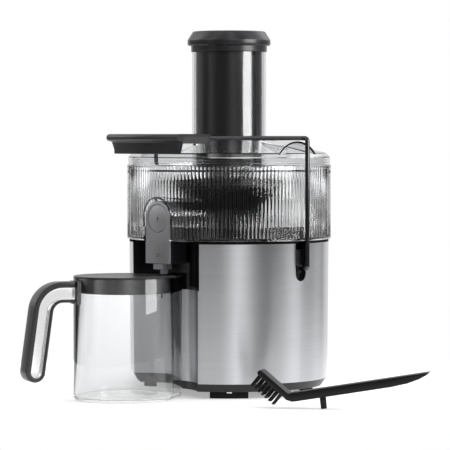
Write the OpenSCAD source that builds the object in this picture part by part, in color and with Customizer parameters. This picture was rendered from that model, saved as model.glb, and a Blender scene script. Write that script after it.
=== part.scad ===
// Centrifugal juicer with its juice jug and cleaning brush. Millimetres, +Z up.
// The table is z = 0 and the machine's vertical axis is x = y = 0; the spout faces -Y.

/* [Base] */
// Radius of the steel shell at its top edge
shell_r = 110.5; // [100:0.5:122]
// How much narrower the shell is at its bottom edge
shell_taper = 1.5; // [0:0.1:3]
// Height of the steel shell's bottom edge
shell_low = 16.6; // [15:0.1:20]
// Height of the steel shell itself
shell_h = 150.4; // [140:0.1:170]
// Sheet thickness of the shell and of the jug recess
shell_wall = 1.2; // [0.8:0.1:2]
// Height of the rubber feet
foot_h = 7.8; // [6:0.1:12]
// Radius of the recess that the jug stands in
recess_r = 70.3; // [66:0.1:78]
// Distance of the recess centre in front of the axis
recess_y = 147; // [140:0.5:155]
// Height where the steel recess panel ends and the black one starts
recess_split = 116.5; // [90:0.5:130]
// Width of the grooves that the locking rod swings in
groove_w = 16; // [12:0.5:18]

/* [Locking handle] */
// Height of the pivot axis
pivot_z = 140; // [130:0.5:150]
// Diameter of the bent rod
rod_d = 5; // [4:0.1:6]
// Distance of the rod's legs from the middle
leg_x = 119.5; // [117:0.5:124]
// Height of the rod's top run
rod_top = 281; // [280:0.1:284]
// Length of the straight run over the lid, from the leg inwards
rod_run = 6.5; // [6.2:0.1:9]
// Half width of the grip
grip_half = 55; // [48:1:60]
// Radius of the grip's rear edge
grip_in_r = 100; // [98:1:104]
// Radius of the grip's front face
grip_out_r = 137; // [130:1:142]
// Radius of the rounded lip along the grip's front
grip_lip_r = 145; // [140:1:150]
// Depth of the grip's front skirt
skirt_h = 11; // [8:0.5:14]

/* [Bowl and lid] */
// Outer radius of the ribbed bowl
bowl_r = 113; // [105:0.5:114]
// Wall of the clear pieces
clear_wall = 2; // [1.6:0.1:2.5]
// Height of the bowl
bowl_h = 82; // [70:0.5:90]
// Height of the lid's collar
collar_h = 13; // [10:0.5:16]
// Chamfer along the top edge of the lid's collar, which the locking rod swings past
lid_edge = 4.5; // [4:0.1:6]
// Rise of the lid's dome from its collar to the feed tube
dome_h = 16; // [12:0.5:18]
// Outer radius of the feed tube
tube_r = 41; // [36:0.5:44]
// Height of the feed tube's mouth above the lid's collar
tube_h = 111; // [90:1:130]

/* [Pusher] */
// Radial gap between pusher and feed tube
pusher_gap = 1.4; // [0.8:0.1:2]
// Radius of the cap's widest band
cap_r = 46; // [42:0.5:52]
// Height of the cap
cap_h = 23; // [18:0.5:28]

/* [Basket] */
// Outer radius of the basket's rim
rim_r = 76.6; // [74:0.1:80]
// Height of the basket's rim
rim_h = 9.5; // [7:0.5:12]
// Radius of the grating disc
disc_r = 46; // [40:0.5:48]
// Height of the sieve cone
cone_h = 26; // [20:0.5:28]
// Number of rings of grating teeth
tooth_rings = 5; // [3:1:6]

/* [Juice spout] */
// Width of the spout
spout_w = 38; // [34:0.5:42]
// Height of the drip-stop knob's centre
knob_z = 194; // [192:0.5:197]
// Diameter of the drip-stop knob
knob_d = 29.3; // [26:0.1:32]
// Height of the spout block's lower end
spout_low = 145; // [140:0.5:155]
// Distance of the spout's front face from the axis
spout_y = 109.6; // [106:0.1:112]
// Depth of the hanging spout block
spout_depth = 25; // [20:0.5:28]

/* [Jug] */
// Outer radius of the jug
jug_r = 55; // [50:0.5:57]
// Height of the jug's rim
jug_h = 131.5; // [110:0.5:132]
// Wall of the jug
jug_wall = 2.2; // [1.8:0.1:3]
// Reach of the pouring nose from the jug's centre
nose_reach = 66; // [62:0.5:68]
// Sideways place of the jug's centre
jug_x = -12; // [-14:0.5:-8]
// Turn of the jug's handle away from straight ahead
jug_turn = 23; // [10:1:40]
// Depth of the jug lid's skirt
jug_skirt = 16.6; // [10:0.1:20]
// Width of the handle's section
handle_w = 21; // [18:0.5:24]
// Depth of the handle's section
handle_t = 22; // [18:0.5:24]

/* [Motor] */
// Radius of the motor shaft
shaft_r = 5; // [4:0.5:6]
// Radial running clearance of the shaft and of the rod ends
run_gap = 0.05; // [0.02:0.01:0.1]
// Radius of the armature
armature_r = 25; // [20:0.5:28]
// Stack height of the armature and stator
stack_h = 46; // [30:1:50]
// Radius of the motor frame's two end shields
shield_r = 44; // [40:1:46]
// Radius of the cooling fan
fan_r = 31; // [24:1:31]

/* [Speed knob] */
// Diameter of the speed knob
dial_d = 38; // [30:1:44]
// Height of the speed knob's centre
dial_z = 62; // [50:1:80]

/* [Mains inlet] */
// Bore of the gland that the mains lead passes through
gland_bore = 7.2; // [6:0.1:9]
// Height of the gland's axis
gland_z = 42; // [34:1:60]

/* [Brush] */
// Length of the brush handle from its bend to its tip
brush_len = 156; // [120:1:165]
// Width of the brush
brush_w = 22; // [16:1:26]
// Tilt of the brush head
head_tilt = 40; // [30:1:45]
// Number of rows of tufts
tuft_rows = 7; // [5:1:9]

/* [Hidden] */
$fn = 96;
big = 400;
joint_gap = 0.3;             // between pieces that only lie near each other
seam = 0.2;                  // visible line between two skins
shell_top = shell_low + shell_h;
liner_r = recess_r + shell_wall;
backing_r = liner_r + joint_gap;
housing_wall = 2.2;
housing_r = shell_r - shell_taper - shell_wall - joint_gap;
boss_r = housing_r - 10;      // the four bosses under the tray screws
boss_h = 30;
base_angles = [45, 135];
groove_low = pivot_z - 14;
pin_in = housing_r - 9.5;     // inner end of the rod's two pins
deck_t = 3;
plateau_r = 97;
plateau_top_r = 94;
deck_top = shell_top + deck_t;
bowl_low = deck_top;
bowl_top = bowl_low + bowl_h;
bowl_in = bowl_r - clear_wall;
floor_z = bowl_low + 13;
lid_r = bowl_r - 1.4;
collar_top = bowl_top + collar_h;
dome_top = collar_top + dome_h;
tube_top = collar_top + tube_h;
tube_in = tube_r - 3.2;
pusher_r = tube_in - pusher_gap;
rim_top = bowl_top - 10.5;
rim_low = rim_top - rim_h;
cone_low = rim_low - cone_h;
cone_top_r = rim_r - 5.2;
cone_low_r = disc_r + 1;
disc_top = cone_low + 1.6;
tube_low = disc_top + 8.4;
pusher_low = tube_low + 6;
funnel_r = cone_top_r + 2.6;
funnel_low_r = cone_low_r + 3.4;
funnel_low = cone_low - 3;
funnel_top = rim_low - 1.5;
drum_r = funnel_low_r;
bowl_hole_r = drum_r + 1;
vault_half = 31;
vault_top = min(rod_top - rod_d / 2 - 0.8, dome_top - 3);
vault_r = 36.6;
vault_x = lid_r - 6.5;
spout_half = spout_w / 2;
tunnel_half = spout_half + 1.2;
tunnel_crown = knob_z + spout_half + 2.8;
tunnel_wall = 1.7;
channel_low = floor_z + 1.5;
nozzle_w = 15;
nozzle_low = spout_low - 11;
nozzle_r = 4.2;
nozzle_in = 10;               // distance of the nozzle behind the spout's face
spindle_r = 3;
valve_r = 11;
hub_r = 15.5;
coupling_r = 11;
motor_mid = 96;
stack_low = motor_mid - stack_h / 2;
stator_in = armature_r + 0.8;
shield_t = 4;
frame_hi = motor_mid + stack_h / 2 + 12;
mount_x = 46;
mount_y = 18;
fan_z = 40;
fan_h = 9;
brush_z = 57;
board_y = 72;
bearing_r = 13;
shaft_low = 24;
rod_r = rod_d / 2;
grip_end_y = -sqrt(grip_in_r * grip_in_r - grip_half * grip_half);
grip_z = rod_top - 6;
grip_t = 10.6;
handle_in = 52;              // the rod enters the grip here, left and right
bend_r = 6;
jug_clear = 0.4;
jug_floor = 2.5;
nose_r = 8;
notch_x = 47;
notch_r = 13;
shoe_t = 4;
shoe_half = 13;
froth_x = 31;
weld = 0.05;                // how far a flat side runs inside the round it leaves
dial_gap = 0.5;
shell_side = shell_r - shell_taper;
skirt_in = 6.5;               // how far the tray's skirt draws in towards the feet
foot_in_r = 80;
foot_out_r = 93;
foot_half = 13;

// A plan outline of the base: the round shell with the jug recess taken out of it.
module plan(inset) {
    difference() {
        circle(housing_r - inset);
        translate([0, -recess_y]) circle(backing_r + inset);
    }
}

module tube(r_out, r_in, z0, z1) {
    translate([0, 0, z0]) difference() {
        cylinder(r = r_out, h = z1 - z0);
        translate([0, 0, -1]) cylinder(r = r_in, h = z1 - z0 + 2);
    }
}

module recess_cut(r) translate([0, -recess_y, -1]) cylinder(r = r, h = big);

// The upright groove for the rod's leg, open at the top, with a round lower end.
module groove(x0, x1, w, low) {
    for (s = [-1, 1]) translate([s * (x0 + x1) / 2, 0, 0]) {
        rotate([0, 90, 0]) translate([-low - w / 2, 0, -(x1 - x0) / 2]) cylinder(d = w, h = x1 - x0);
        translate([-(x1 - x0) / 2, -w / 2, low + w / 2]) cube([x1 - x0, w, shell_top - low + big]);
    }
}
// The two round holes through the base's wall: the speed knob's shaft and the mains gland.
module side_holes() {
    translate([-shell_r, 0, dial_z]) rotate([0, 90, 0])
        cylinder(r = shaft_r + 1, h = 20, center = true);
    translate([0, shell_r, gland_z]) rotate([90, 0, 0]) cylinder(r = 6.2, h = 20, center = true);
}

module outer_shell() {
    color("silver") difference() {
        translate([0, 0, shell_low]) cylinder(r1 = shell_side, r2 = shell_r, h = shell_h);
        translate([0, 0, shell_low - 0.01])
            cylinder(r1 = shell_side - shell_wall, r2 = shell_r - shell_wall, h = shell_h + 0.02);
        recess_cut(liner_r + seam);
        groove(housing_r - 6, shell_r + 5, groove_w, groove_low);
        side_holes();
    }
}

// The moulded wall inside the round shell, with the floors of the two grooves and the bosses.
module inner_housing() {
    color("dimgray") difference() {
        union() {
            tube(housing_r, housing_r - housing_wall, shell_low + 0.4, shell_top - 1);
            intersection() {
                cylinder(r = housing_r - weld, h = big);
                for (s = [-1, 1]) translate([s * (housing_r - 6), 0, (groove_low + shell_top) / 2 - 7])
                    cube([12, groove_w + 6, shell_top - groove_low], center = true);
            }
            for (a = base_angles) rotate(a) for (s = [-1, 1])
                translate([s * boss_r, 0, shell_low + 0.4]) cylinder(r = 8.5, h = boss_h);
        }
        recess_cut(backing_r + housing_wall + weld);
        groove(housing_r - 5, shell_r + 5, groove_w, groove_low);
        for (s = [-1, 1]) translate([s * housing_r, 0, pivot_z]) rotate([0, 90, 0])
            cylinder(r = rod_r + 1.8, h = 40, center = true);
        for (a = base_angles) rotate(a) for (s = [-1, 1]) translate([s * boss_r, 0, 0])
            cylinder(r = 1.8, h = shell_low + boss_h - 8);
        side_holes();
    }
}

// The moulded wall that stands behind the jug recess and carries its two skins.
module recess_backing() {
    color("dimgray") intersection() {
        translate([0, -recess_y, 0])
            tube(backing_r + housing_wall, backing_r, shell_low + 0.4, shell_top - 1);
        cylinder(r = housing_r, h = big);
    }
}

module recess_skin(z0, z1) {
    intersection() {
        translate([0, -recess_y, 0]) tube(liner_r, recess_r, z0, z1);
        translate([0, 0, shell_low]) cylinder(r1 = shell_side, r2 = shell_r, h = shell_h);
    }
}

module recess_panel() color("lightgray") recess_skin(shell_low, recess_split);
module recess_surround() color("black") recess_skin(recess_split + 0.1, shell_top);

// The black tray below the shell: a skirt that draws in towards the feet, and the bottom plate.
module base_tray() {
    plate = 3;
    color("black") difference() {
        translate([0, 0, foot_h]) cylinder(r1 = shell_side - skirt_in, r2 = shell_side - 0.4,
            h = shell_low - foot_h);
        translate([0, 0, foot_h + plate])
            cylinder(r1 = shell_side - skirt_in - 2.5, r2 = shell_side - 3.2, h = big / 8);
        recess_cut(recess_r);
        for (a = base_angles) rotate(a) for (s = [-1, 1]) translate([s * boss_r, 0, 0])
            cylinder(r = 2.2, h = boss_h);
        for (k = [-4:4]) translate([k * 9 - 2, 2, foot_h - 1]) cube([4, 36, plate + 2]);
    }
    color("black") intersection() {
        translate([0, -recess_y, 0]) tube(recess_r + 3, recess_r, foot_h, shell_low);
        translate([0, 0, foot_h])
            cylinder(r1 = shell_side - skirt_in, r2 = shell_side - 0.4, h = shell_low - foot_h);
    }
}

module arc_block(r0, r1, half, z0, z1) {
    rotate([0, 0, -half]) translate([0, 0, z0]) rotate_extrude(angle = 2 * half)
        translate([r0, 0]) square([r1 - r0, z1 - z0]);
}

module rubber_feet() {
    color("black") for (a = [45, 135, 225, 315]) rotate(a)
        arc_block(foot_in_r, foot_out_r, foot_half, 0, foot_h);
}

module base_screws() {
    color("gray") for (a = base_angles) rotate(a) for (s = [-1, 1]) translate([s * boss_r, 0, 0]) {
        translate([0, 0, foot_h + 0.4]) cylinder(r = 1.75, h = 24);
        translate([0, 0, foot_h - 1.4]) cylinder(r = 3.4, h = 1.4);
        translate([0, 0, foot_h - 0.5]) cylinder(r = 1.75, h = 2);
    }
}

// The deck closes the base: a flat rim under the bowl, a raised plateau inside it, and a well
// in the middle for the juice collector.
module top_deck() {
    color("black") difference() {
        union() {
            translate([0, 0, shell_top]) cylinder(r = shell_r, h = deck_t);
            translate([0, 0, shell_top - 4]) linear_extrude(4.01) difference() {
                plan(housing_wall + joint_gap);
                plan(housing_wall + joint_gap + 2);
            }
            translate([0, 0, deck_top - 0.01]) cylinder(r1 = plateau_r, r2 = plateau_top_r,
                h = floor_z - deck_top - 1);
        }
        translate([0, 0, shell_top - 5]) cylinder(r = bowl_hole_r, h = 5 + deck_t - 1.5);
        translate([0, 0, deck_top]) cylinder(r = bowl_hole_r, h = big);
        translate([0, 0, shell_top - 5]) cylinder(r = shaft_r + 7.2, h = big);
        difference() {
            translate([0, 0, shell_top + 0.01]) cylinder(r1 = plateau_r - 3, r2 = plateau_top_r - 2.5,
                h = floor_z - shell_top - 4);
            translate([0, 0, shell_top - 5]) cylinder(r = bowl_hole_r + 2.5, h = big);
        }
        recess_cut(recess_r);
        groove(housing_r - 6, shell_r + 5, groove_w, groove_low);
    }
    // The plateau's front wall follows the recess.
    color("black") intersection() {
        translate([0, -recess_y, 0]) tube(recess_r + 2, recess_r, shell_top, floor_z - 1.5);
        difference() {
            translate([0, 0, shell_top]) cylinder(r1 = plateau_r, r2 = plateau_top_r + 0.2,
                h = floor_z - shell_top);
            cylinder(r = bowl_hole_r + 0.2, h = big);
        }
    }
}

module shaft_seal() color("black") tube(shaft_r + 7, shaft_r + run_gap, shell_top - 3, deck_top + 1.5);

module pivot_bush(s) {
    color("dimgray") translate([s * (housing_r - 10), 0, pivot_z]) rotate([0, s * 90, 0]) difference() {
        union() {
            cylinder(r = rod_r + 1.7, h = 11);
            translate([0, 0, 5.2]) cylinder(r = rod_r + 3.2, h = 1.6);
        }
        translate([0, 0, -1]) cylinder(r = rod_r + run_gap, h = 20);
    }
}
module pivot_bush_right() pivot_bush(1);
module pivot_bush_left() pivot_bush(-1);

// The moulded gland that the mains lead passes through, at the rear.
module cord_gland() {
    color("black") translate([0, housing_r - 6, gland_z]) rotate([-90, 0, 0]) difference() {
        union() {
            cylinder(r = 6, h = 11);
            translate([0, 0, 9.1]) cylinder(r = 8, h = 2.4);
            cylinder(r = 8, h = 2.2);
        }
        translate([0, 0, -1]) cylinder(d = gland_bore, h = 20);
    }
}

module motor_stator() {
    color("gray") translate([0, 0, stack_low]) difference() {
        intersection() {
            cylinder(r = armature_r + 19, h = stack_h);
            translate([0, 0, stack_h / 2]) cube([76, 64, stack_h], center = true);
        }
        translate([0, 0, -1]) cylinder(r = stator_in, h = stack_h + 2);
        for (s = [-1, 1]) translate([s * (stator_in + 2.6), 0, stack_h / 2])
            cube([5.6, 34, big], center = true);
    }
}

// One wound coil on each side, passing through the stator's slots and over both ends of the stack.
module motor_coils() {
    color("peru") for (s = [-1, 1]) difference() {
        translate([s * (stator_in + 2.6), 0, motor_mid]) cube([5, 33, stack_h + 14], center = true);
        cylinder(r = stator_in + 0.2, h = big);
    }
}

// Two end shields joined by posts hold the stator and both bearings.
module motor_frame() {
    hi = frame_hi;
    lo = shaft_low + 2;
    color("lightgray") difference() {
        union() {
            translate([0, 0, hi]) cylinder(r = shield_r, h = shield_t);
            translate([0, 0, hi]) cylinder(r = bearing_r + 3, h = 13);
            translate([0, 0, lo]) cylinder(r = shield_r, h = shield_t);
            translate([0, 0, lo]) cylinder(r = bearing_r + 3, h = 10);
            for (sy = [-1, 1]) translate([0, sy * (shield_r - 7), lo])
                cylinder(r = 4.5, h = hi - lo + 1);
            for (s = [-1, 1], sy = [-1, 1]) translate([s * mount_x, sy * mount_y, hi])
                cylinder(r = 9, h = shield_t);
        }
        translate([0, 0, lo - 1]) cylinder(r = shaft_r + 1.5, h = big);
        translate([0, 0, hi + shield_t]) cylinder(r = bearing_r, h = 20);
        translate([0, 0, lo + 2]) cylinder(r = bearing_r, h = 20);
        for (s = [-1, 1], sy = [-1, 1]) translate([s * mount_x, sy * mount_y, hi - 1])
            cylinder(r = 2.2, h = 10);
        for (k = [0:5]) rotate(k * 60 + 30) translate([27, 0, lo - 1]) cylinder(r = 6, h = 8);
    }
}
module vibration_mounts() {
    color("black") for (s = [-1, 1], sy = [-1, 1]) translate([s * mount_x, sy * mount_y, 0])
        tube(7, 2.6, frame_hi + shield_t, shell_top);
}

module motor_screws() {
    color("silver") for (s = [-1, 1], sy = [-1, 1]) translate([s * mount_x, sy * mount_y, frame_hi]) {
        cylinder(r = 1.9, h = shell_top - frame_hi - 0.2);
        translate([0, 0, -2.4]) cylinder(r = 4, h = 2.4);
    }
}

module upper_bearing() color("silver")
    tube(bearing_r, shaft_r + run_gap, frame_hi + shield_t, frame_hi + 12);
module lower_bearing() color("silver") tube(bearing_r, shaft_r + run_gap, shaft_low + 4, shaft_low + 11);

module brush_holders() {
    color("tan") for (s = [-1, 1]) translate([s * 24, 0, brush_z]) cube([20, 9, 9], center = true);
    color("tan") for (s = [-1, 1]) translate([s * 38, 0, brush_z]) cube([8, 14, 16], center = true);
}

module control_board() {
    color("darkgreen") translate([0, board_y, 70]) cube([70, 1.6, 60], center = true);
    color("darkgreen") for (k = [-2:2]) translate([k * 13, board_y - 5, 60 + 6 * abs(k)])
        cube([8, 8.4, 12], center = true);
}

module speed_switch() {
    color("dimgray") translate([-housing_r + 14, 0, dial_z]) difference() {
        cube([16, 30, 30], center = true);
        rotate([0, 90, 0]) cylinder(r = shaft_r + run_gap, h = 40, center = true);
    }
}

// The micro switch that feels the right rod end, so the motor only runs with the handle closed.
module lock_switch() {
    color("dimgray") translate([housing_r - 17, 0, pivot_z]) cube([7, 12, 22], center = true);
}

// A bar along Y with a round top and its sides cut off at a low line.
module arch(half, crown, y0, y1, low) {
    translate([0, y1, 0]) rotate([90, 0, 0]) linear_extrude(y1 - y0) intersection() {
        union() {
            translate([0, crown - half]) circle(half);
            translate([-half, low]) square([2 * half, max(crown - half - low, 1)]);
        }
        translate([-half, low]) square([2 * half, crown]);
    }
}

module funnel_solid(gap) {
    translate([0, 0, funnel_low - gap]) cylinder(r1 = funnel_low_r + gap, r2 = funnel_r + gap,
        h = funnel_top - funnel_low);
    translate([0, 0, funnel_top - gap - 0.01]) cylinder(r = funnel_r + gap, h = 60);
}

// The ribbed bowl that catches the pulp: a ring-shaped floor round a collar, with an arched
// tunnel in front for the spout.
module pulp_container() {
    color([0.9, 0.92, 0.94, 0.4]) difference() {
        union() {
            tube(bowl_r, bowl_in, bowl_low, bowl_top);
            tube(bowl_in + 0.01, bowl_hole_r, floor_z, floor_z + clear_wall);
            tube(bowl_hole_r + clear_wall, bowl_hole_r, floor_z, funnel_low - 0.6);
            intersection() {
                arch(tunnel_half + tunnel_wall, tunnel_crown + tunnel_wall, -bowl_r, -bowl_hole_r,
                    floor_z);
                cylinder(r = bowl_r - 0.5, h = big);
            }
        }
        arch(tunnel_half, tunnel_crown, -bowl_r - 5, -drum_r + 8, -1);
        funnel_solid(0.5);
    }
}

module channel_outline(inset, y0, y1, low)
    arch(spout_half - inset, knob_z + spout_half - inset, y0, y1, low);

module juice_collector() {
    wall = 1.6;
    color("black") difference() {
        union() {
            translate([0, 0, funnel_low])
                cylinder(r1 = funnel_low_r, r2 = funnel_r, h = funnel_top - funnel_low);
            translate([0, 0, deck_top + 2]) cylinder(r = drum_r, h = funnel_low - deck_top - 1.99);
            channel_outline(0, -spout_y + spout_depth + 0.01, -drum_r + 4, channel_low);
        }
        translate([0, 0, funnel_low]) cylinder(r1 = funnel_low_r - wall, r2 = funnel_r - wall,
            h = funnel_top - funnel_low + 0.02);
        translate([0, 0, floor_z + 7]) difference() {
            cylinder(r = drum_r - wall, h = big);
            translate([0, 0, funnel_low - floor_z - 7]) cylinder(r = big / 2, h = big);
            cylinder(r = hub_r + 3.6, h = cone_low - floor_z - 9);
        }
        translate([0, 0, floor_z + 5]) mirror([0, 0, 1]) difference() {
            cylinder(r = drum_r - wall, h = big / 8);
            cylinder(r = hub_r + 3.6, h = 4);
        }
        translate([0, 0, -1]) cylinder(r = hub_r + 2, h = big);
        difference() {
            channel_outline(1.6, -spout_y, -drum_r + 8, channel_low + 1.6);
            tube(drum_r + 8, drum_r - 12, 0, channel_low + 4);
        }
    }
}

// The hanging spout block behind the silver cover; juice falls through it to the nozzle.
module spout_block() {
    color("dimgray") difference() {
        channel_outline(0, -spout_y + 2.4, -spout_y + spout_depth, spout_low);
        difference() {
            channel_outline(1.8, -spout_y + 6, -spout_y + spout_depth + 1, spout_low + 3);
            translate([-50, -spout_y + spout_depth - 1.8, 0]) cube([100, 10, channel_low]);
        }
        translate([0, -spout_y, knob_z]) rotate([90, 0, 0])
            cylinder(r = spindle_r + 0.05, h = 30, center = true);
        translate([0, -spout_y, knob_z]) rotate([90, 0, 0])
            cylinder(r = knob_d / 2 + 0.5, h = 8.2, center = true);
        translate([0, -spout_y + nozzle_in, 0]) cylinder(r = nozzle_r + 0.3, h = spout_low + 10);
    }
}

module spout_cover() {
    color("gainsboro") difference() {
        channel_outline(0, -spout_y, -spout_y + 2.3, spout_low);
        translate([0, -spout_y, knob_z]) rotate([90, 0, 0])
            cylinder(r = knob_d / 2 + 0.5, h = 20, center = true);
    }
}

module spout_nozzle() {
    color("gray") difference() {
        union() {
            translate([-nozzle_w / 2, -spout_y + 0.8, spout_low - 6]) cube([nozzle_w, 13, 5.9]);
            translate([0, -spout_y + nozzle_in, nozzle_low]) cylinder(r = nozzle_r, h = 20);
        }
        translate([0, -spout_y + nozzle_in, 0]) cylinder(r = nozzle_r - 1.2, h = big);
    }
}

// The clear lid: collar, shallow dome, two barrel vaults under the rod, and the feed tube.
module lid_form(t) {
    rotate_extrude() polygon([[0, bowl_top], [lid_r - t, bowl_top],
        [lid_r - t, collar_top - lid_edge - 0.4 * t],
        [lid_r - lid_edge - 0.4 * t, collar_top - t], [tube_r, dome_top - t], [0, dome_top - t]]);
    intersection() {
        translate([0, 0, vault_top - vault_r]) rotate([0, 90, 0])
            cylinder(r = vault_r - t, h = 2 * (vault_x - t), center = true);
        translate([-vault_x, -vault_half - 8, bowl_top]) cube([2 * vault_x, 2 * vault_half + 16, big]);
    }
}

module lid() {
    color([0.92, 0.94, 0.96, 0.35]) {
        difference() {
            lid_form(0);
            difference() {
                union() {
                    lid_form(clear_wall);
                    translate([0, 0, bowl_top - 1]) cylinder(r = lid_r - 2.4, h = 4);
                }
                cylinder(r = tube_r - 0.6, h = big);
            }
            cylinder(r = tube_in, h = big);
        }
        tube(tube_r, tube_in, tube_low, tube_top);
        tube(bowl_in - 0.3, bowl_in - 2.3, bowl_top - 5, bowl_top + 1.5);
        translate([tube_in - 2.4, -2.5, tube_low + 2]) cube([3, 5, tube_top - tube_low - 6]);
    }
}

module lid_seal() color("dimgray") tube(bowl_in - 0.3, bowl_in - 2.3, bowl_top - 7, bowl_top - 5);

module motor_shaft() color("silver") translate([0, 0, shaft_low])
    cylinder(r = shaft_r, h = floor_z - shaft_low + 3);

module armature() color("gray") tube(armature_r, shaft_r, stack_low, stack_low + stack_h);
module commutator() color("peru") tube(12, shaft_r, brush_z - 6, brush_z + 7);

module cooling_fan() {
    color("dimgray") difference() {
        union() {
            translate([0, 0, fan_z]) cylinder(r = fan_r, h = 1.6);
            translate([0, 0, fan_z]) cylinder(r = 9, h = fan_h);
            for (k = [0:8]) rotate(k * 40) translate([8, -0.8, fan_z]) cube([fan_r - 8.5, 1.6, fan_h]);
        }
        cylinder(r = shaft_r, h = big);
    }
}

module drive_coupling() {
    color("black") difference() {
        union() {
            translate([0, 0, deck_top + 3]) cylinder(r = coupling_r, h = floor_z + 6 - deck_top);
            for (k = [0:2]) rotate(k * 120) translate([0, -2, deck_top + 3])
                cube([coupling_r + 1.6, 4, floor_z + 6 - deck_top]);
        }
        translate([0, 0, shell_top - 1]) cylinder(r = shaft_r, h = floor_z - shell_top + 4);
    }
}

module basket_hub() {
    color("black") difference() {
        union() {
            translate([0, 0, floor_z + 1.5]) cylinder(r = hub_r, h = cone_low - floor_z - 3.9);
            translate([0, 0, cone_low - 2.5]) cylinder(r = disc_r - 1, h = 2.4);
        }
        translate([0, 0, deck_top]) cylinder(r = coupling_r + 0.2, h = floor_z - deck_top + 9.5);
        for (k = [0:2]) rotate(k * 120) translate([0, -2.3, deck_top])
            cube([coupling_r + 2, 4.6, floor_z - deck_top + 9.5]);
    }
}

module sieve_cone() {
    color("silver") translate([0, 0, cone_low]) difference() {
        cylinder(r1 = cone_low_r, r2 = cone_top_r, h = cone_h);
        translate([0, 0, -0.01])
            cylinder(r1 = cone_low_r - 0.8, r2 = cone_top_r - 0.8, h = cone_h + 0.02);
    }
}

module basket_rim() {
    color("black") rotate_extrude() polygon([[cone_top_r - 0.6, rim_low], [rim_r, rim_low],
        [rim_r, rim_top - 2], [rim_r - 1, rim_top], [rim_r - 2.4, rim_top],
        [cone_top_r - 0.6, rim_low + 2]]);
}

module grating_disc() {
    color("silver") {
        translate([0, 0, cone_low]) cylinder(r = disc_r - 0.2, h = 1.6);
        for (ring = [1:tooth_rings]) for (k = [0:3 * ring - 1])
            rotate(k * 120 / ring + ring * 17) translate([ring * 7.4, -0.5, disc_top - 0.1])
                cube([2.4, 1, 1.5]);
    }
}

module pusher_body() {
    color("dimgray") difference() {
        translate([0, 0, pusher_low]) cylinder(r = pusher_r, h = tube_top - pusher_low);
        translate([0, 0, pusher_low + 2.4]) cylinder(r = pusher_r - 2.4, h = big);
        translate([pusher_r - 1.6, -3.4, pusher_low - 1]) cube([4, 6.8, big]);
    }
}

// The cap: a short skirt, the wide band, and a bevel up to the flat top.
module pusher_cap() {
    skirt = 7;
    band = 6;
    color("dimgray") translate([0, 0, tube_top]) difference() {
        rotate_extrude() polygon([[0, joint_gap], [tube_r + 1, joint_gap], [tube_r + 1, skirt],
            [cap_r - 0.6, skirt], [cap_r, skirt + 1.5], [cap_r, skirt + band],
            [tube_r + 0.6, cap_h - 0.6], [tube_r - 1, cap_h], [0, cap_h]]);
        translate([0, 0, -1]) cylinder(r = pusher_r - 5, h = cap_h - 3);
    }
    color("dimgray") tube(pusher_r - 2.5, pusher_r - 4.5, tube_top - 9, tube_top + 1);
}

// A straight piece of rod between two points.
module rod_piece(a, b) {
    v = b - a;
    len = norm(v);
    translate(a) rotate([0, acos(v[2] / len), atan2(v[1], v[0])]) cylinder(r = rod_r, h = len);
}

// A bend in the plane it is drawn in, from the +X side round towards +Y.
module rod_bend(turn) rotate_extrude(angle = turn) translate([bend_r, 0]) circle(rod_r, $fn = 48);

module half_rod() {
    dx = leg_x - rod_run - handle_in;
    swing = atan2(-grip_end_y, dx);
    heading = [-cos(swing), -sin(swing), 0];
    turn = [leg_x - rod_run, 0, rod_top];
    tip = [handle_in, grip_end_y, rod_top] + 22 * heading;
    rod_piece([pin_in, 0, pivot_z], [leg_x - bend_r, 0, pivot_z]);
    translate([leg_x - bend_r, 0, pivot_z + bend_r]) rotate([90, 0, 0]) mirror([0, 1, 0]) rod_bend(90);
    rod_piece([leg_x, 0, pivot_z + bend_r], [leg_x, 0, rod_top - bend_r]);
    translate([leg_x - bend_r, 0, rod_top - bend_r]) rotate([90, 0, 0]) rod_bend(90);
    rod_piece([leg_x - bend_r, 0, rod_top], turn);
    translate(turn) sphere(r = rod_r + 0.5, $fn = 48);
    rod_piece(turn, tip);
}

module lock_rod() {
    color("black") {
        half_rod();
        mirror([1, 0, 0]) half_rod();
    }
}

// The grip: a flat band with a rounded lip in front and a skirt hanging from its front arc.
module grip_sector(r0, r1, half, z0, z1) {
    translate([0, 0, z0]) linear_extrude(z1 - z0) intersection() {
        difference() {
            circle(r1);
            circle(r0);
        }
        translate([-half, -big]) square([2 * half, big - 40]);
    }
}

module lock_grip() {
    dx = leg_x - rod_run - handle_in;
    reach = norm([dx, grip_end_y]);
    color("dimgray") difference() {
        union() {
            grip_sector(grip_in_r, grip_out_r, grip_half, grip_z, grip_z + grip_t);
            grip_sector(grip_out_r - 4, grip_lip_r, grip_half, grip_z + 2, grip_z + grip_t - 1);
            grip_sector(grip_out_r - 2.4, grip_out_r, grip_half - 1.5, grip_z - skirt_h, grip_z + 1);
        }
        grip_sector(grip_in_r + 30, grip_out_r - 3.5, grip_half - 8, grip_z - 1, grip_z + grip_t - 2.4);
        for (s = [-1, 1]) translate([s * handle_in, grip_end_y, rod_top])
            rotate([0, 90, atan2(grip_end_y, -s * dx)]) translate([0, 0, -12])
                cylinder(r = rod_r + run_gap, h = 35);
        for (s = [-1, 1])
            translate([s * (handle_in - dx / reach * 14), grip_end_y * (1 + 14 / reach), 0])
                cylinder(r = 1.4, h = rod_top);
    }
}

module grip_screws() {
    dx = leg_x - rod_run - handle_in;
    reach = norm([dx, grip_end_y]);
    color("silver") for (s = [-1, 1]) translate([s * (handle_in - dx / reach * 14),
        grip_end_y * (1 + 14 / reach), grip_z - 1.6]) {
        cylinder(r = 2.6, h = 1.6);
        cylinder(r = 1.35, h = rod_top - grip_z - rod_r + 1.3);
    }
}

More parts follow.
